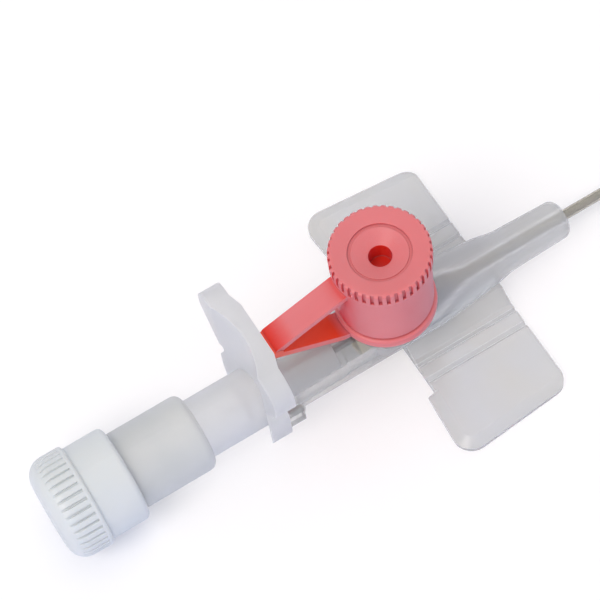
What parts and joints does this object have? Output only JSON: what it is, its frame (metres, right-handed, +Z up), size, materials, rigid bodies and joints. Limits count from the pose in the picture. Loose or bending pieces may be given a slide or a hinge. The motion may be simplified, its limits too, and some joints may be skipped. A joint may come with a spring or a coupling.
{
  "type": "iv cannula",
  "caption": "Winged intravenous cannula: catheter over a bevelled steel needle, with a hinged-cap injection port, grip plate, flashback chamber and vent plug.",
  "frame": {"origin": "middle of the flat underside between the wings, halfway along their depth", "axes": "+X along the cannula towards the needle tip, +Y across the wings, +Z up towards the injection port"},
  "size_m": [0.0955, 0.0316, 0.02],
  "materials": {
    "clear_polypropylene": "moulded, smooth",
    "catheter_fluoropolymer": "extruded, satin",
    "bush_steel": "deep drawn",
    "needle_steel": "drawn and ground",
    "valve_silicone": "moulded, soft",
    "pink_polyethylene": "moulded, satin",
    "plug_polyethylene": "moulded, satin",
    "filter_felt": "sintered, porous"
  },
  "bodies": {
    "hub": {"catheter_hub": "clear_polypropylene", "catheter": "catheter_fluoropolymer", "catheter_bush": "bush_steel", "port_valve": "valve_silicone", "port_collar": "pink_polyethylene"},
    "cap": {"port_cap": "pink_polyethylene"},
    "needle": {"needle": "needle_steel", "needle_hub": "clear_polypropylene", "flashback_chamber": "clear_polypropylene"},
    "plug": {"vent_plug": "plug_polyethylene", "vent_filter": "filter_felt"}
  },
  "joints": [
    {"name": "cap_hinge", "type": "hinge", "parent": "hub", "child": "cap", "pos_m": [-0.01875, 0, 0.01225], "axis": [0, -1, 0], "range_deg": [0, 60]},
    {"name": "needle_withdraw", "type": "slide", "parent": "hub", "child": "needle", "axis": [-1, 0, 0], "range_m": [0, 0.08]},
    {"name": "plug_pull", "type": "slide", "parent": "needle", "child": "plug", "axis": [-1, 0, 0], "range_m": [0, 0.012]}
  ]
}
